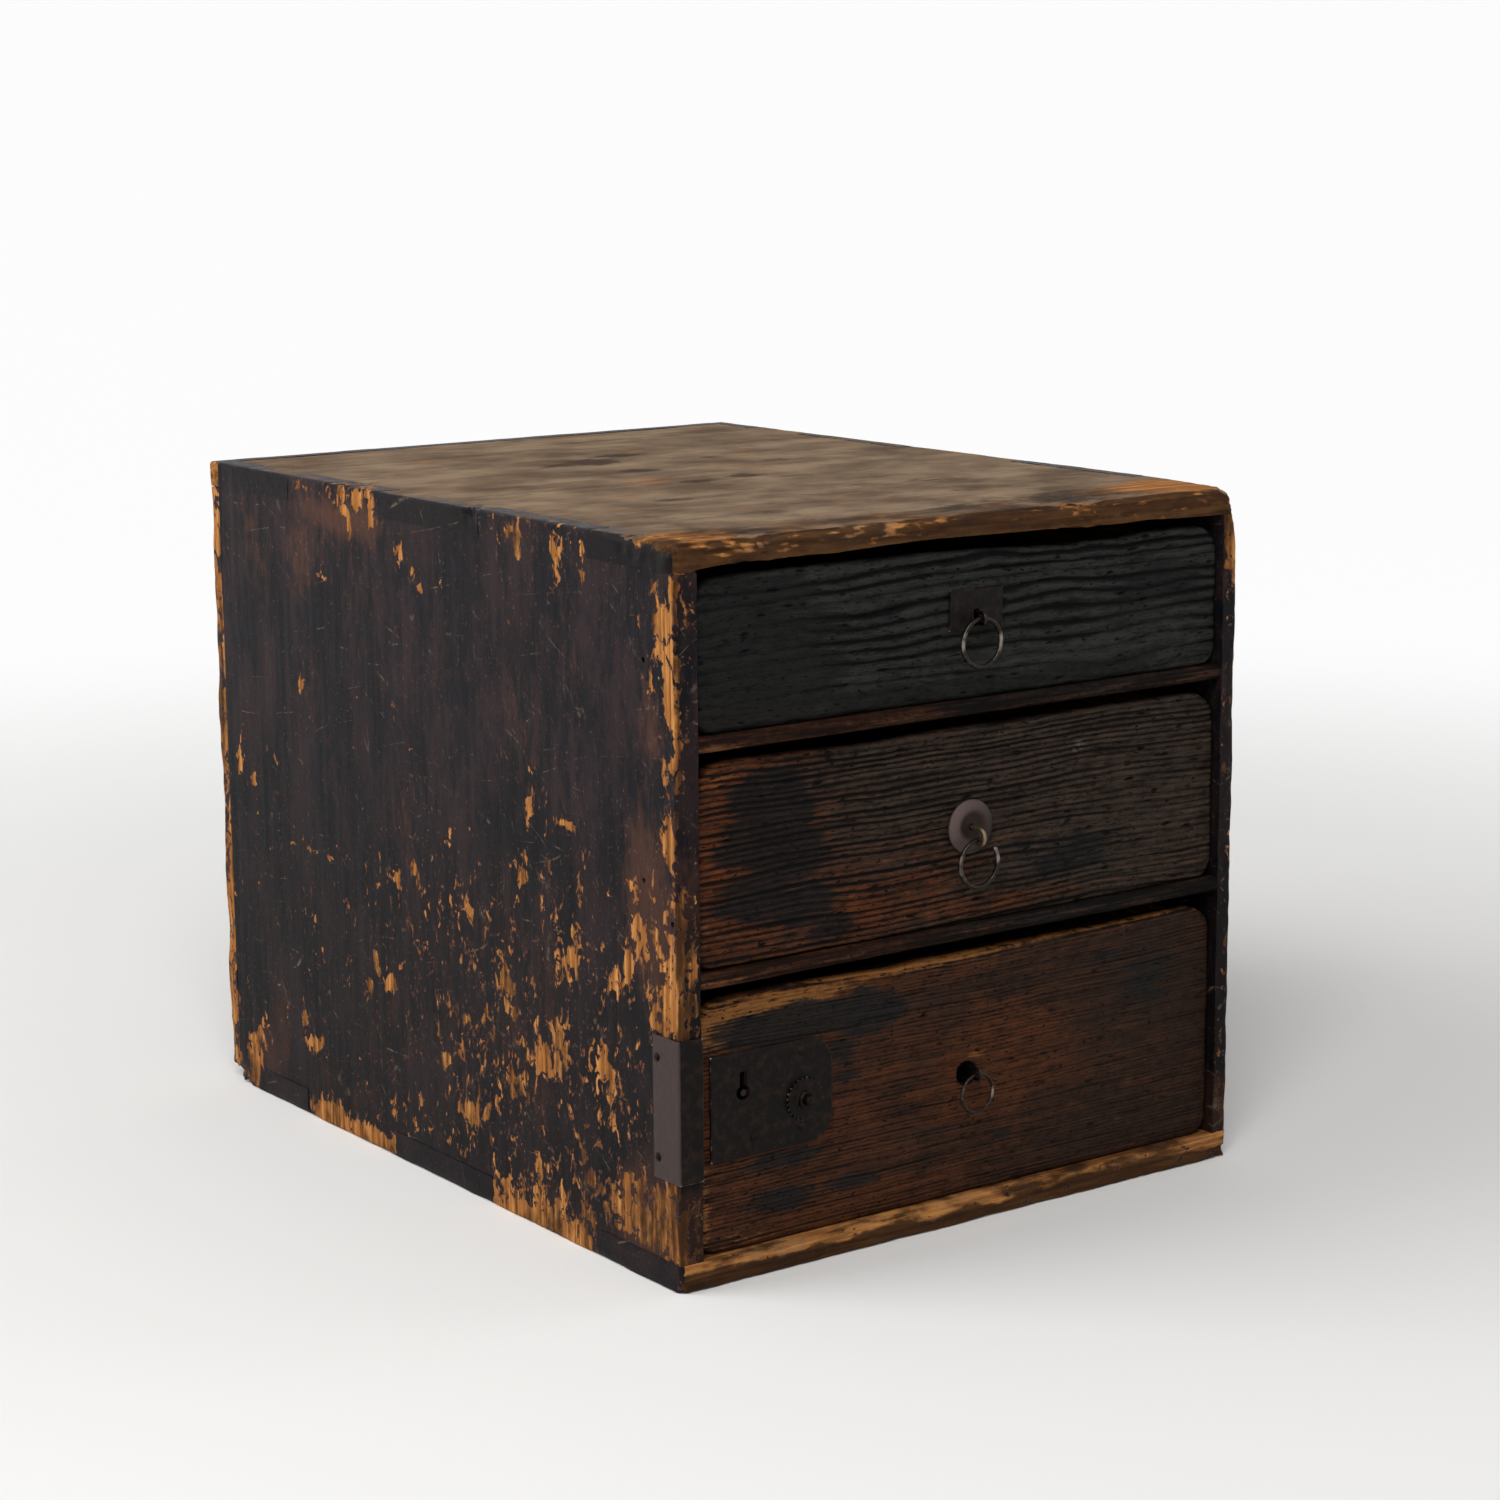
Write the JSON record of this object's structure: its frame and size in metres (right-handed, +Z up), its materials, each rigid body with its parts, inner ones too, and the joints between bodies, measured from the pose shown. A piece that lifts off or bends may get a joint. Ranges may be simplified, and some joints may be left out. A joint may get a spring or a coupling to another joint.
{
  "type": "small drawer chest",
  "caption": "Small finger-jointed wooden chest of drawers with iron ring pulls, a drawer lock that bolts into the side board and an iron corner strap.",
  "frame": {"origin": "on the floor, under the middle of the carcass", "axes": "+Z up, the drawers open towards -Y, the lock is towards -X"},
  "size_m": [0.2978, 0.3911, 0.3],
  "materials": {
    "lacquered_cedar": "black and purple-brown lacquer over cedar, chipped to the orange wood",
    "rail_wood": "dark worn wood, handled edges",
    "drawer_front_wood": "weathered softwood with standing growth rings, once dark lacquered",
    "bare_cedar": "unfinished cedar, brown with age",
    "peg_wood": "whittled hardwood",
    "dark_iron": "hammered sheet iron with a dark lacquer and rust",
    "ring_iron": "drawn iron wire, rubbed bright by hands",
    "staple_brass": "dull worn brass wire"
  },
  "bodies": {
    "carcass": {"side_board_left": "lacquered_cedar", "side_board_right": "lacquered_cedar", "top_board": "lacquered_cedar", "bottom_board": "lacquered_cedar", "top_rear_strip": "lacquered_cedar", "back_plank_left": "lacquered_cedar", "back_plank_right": "lacquered_cedar", "rail_lower": "rail_wood", "rail_upper": "rail_wood", "shelf_lower": "bare_cedar", "shelf_upper": "bare_cedar", "back_nails": "dark_iron", "corner_strap": "dark_iron", "strap_nails": "dark_iron"},
    "drawer_top": {"drawer_top_front": "drawer_front_wood", "drawer_top_side_left": "bare_cedar", "drawer_top_side_right": "bare_cedar", "drawer_top_back": "bare_cedar", "drawer_top_bottom": "bare_cedar", "drawer_top_pegs": "peg_wood", "ring_plate_top": "dark_iron", "ring_staple_top": "ring_iron"},
    "drawer_middle": {"drawer_middle_front": "drawer_front_wood", "drawer_middle_side_left": "bare_cedar", "drawer_middle_side_right": "bare_cedar", "drawer_middle_back": "bare_cedar", "drawer_middle_bottom": "bare_cedar", "drawer_middle_pegs": "peg_wood", "ring_washer_middle": "dark_iron", "ring_staple_middle": "staple_brass"},
    "drawer_bottom": {"drawer_bottom_front": "drawer_front_wood", "drawer_bottom_side_left": "bare_cedar", "drawer_bottom_side_right": "bare_cedar", "drawer_bottom_back": "bare_cedar", "drawer_bottom_bottom": "bare_cedar", "drawer_bottom_pegs": "peg_wood", "ring_staple_bottom": "ring_iron", "lock_plate": "dark_iron", "lock_plate_nails": "dark_iron", "lock_rosette": "dark_iron", "lock_case": "dark_iron", "lock_spring": "ring_iron", "key_pin": "ring_iron"},
    "pull_top": {"ring_top": "ring_iron"},
    "pull_middle": {"ring_middle": "ring_iron"},
    "pull_bottom": {"ring_bottom": "ring_iron"},
    "bolt": {"lock_bolt": "ring_iron"},
    "button": {"lock_button": "dark_iron"}
  },
  "joints": [
    {"name": "drawer_top_slide", "type": "slide", "parent": "carcass", "child": "drawer_top", "axis": [0, -1, 0], "range_m": [0, 0.28]},
    {"name": "drawer_middle_slide", "type": "slide", "parent": "carcass", "child": "drawer_middle", "axis": [0, -1, 0], "range_m": [0, 0.28]},
    {"name": "drawer_bottom_slide", "type": "slide", "parent": "carcass", "child": "drawer_bottom", "axis": [0, -1, 0], "range_m": [0, 0.28]},
    {"name": "ring_top_swing", "type": "hinge", "parent": "drawer_top", "child": "pull_top", "pos_m": [0.0037, -0.188, 0.257], "axis": [-1, 0, 0], "range_deg": [-6, 155]},
    {"name": "ring_middle_swing", "type": "hinge", "parent": "drawer_middle", "child": "pull_middle", "pos_m": [0.0012, -0.19, 0.16545], "axis": [-1, 0, 0], "range_deg": [-6, 155]},
    {"name": "ring_bottom_swing", "type": "hinge", "parent": "drawer_bottom", "child": "pull_bottom", "pos_m": [0.0005, -0.1905, 0.0655], "axis": [-1, 0, 0], "range_deg": [-6, 155]},
    {"name": "bolt_throw", "type": "slide", "parent": "drawer_bottom", "child": "bolt", "axis": [-1, 0, 0], "range_m": [0, 0.006]},
    {"name": "button_press", "type": "slide", "parent": "drawer_bottom", "child": "button", "axis": [0, 1, 0], "range_m": [0, 0.002], "stiffness_N_per_m": 250}
  ]
}
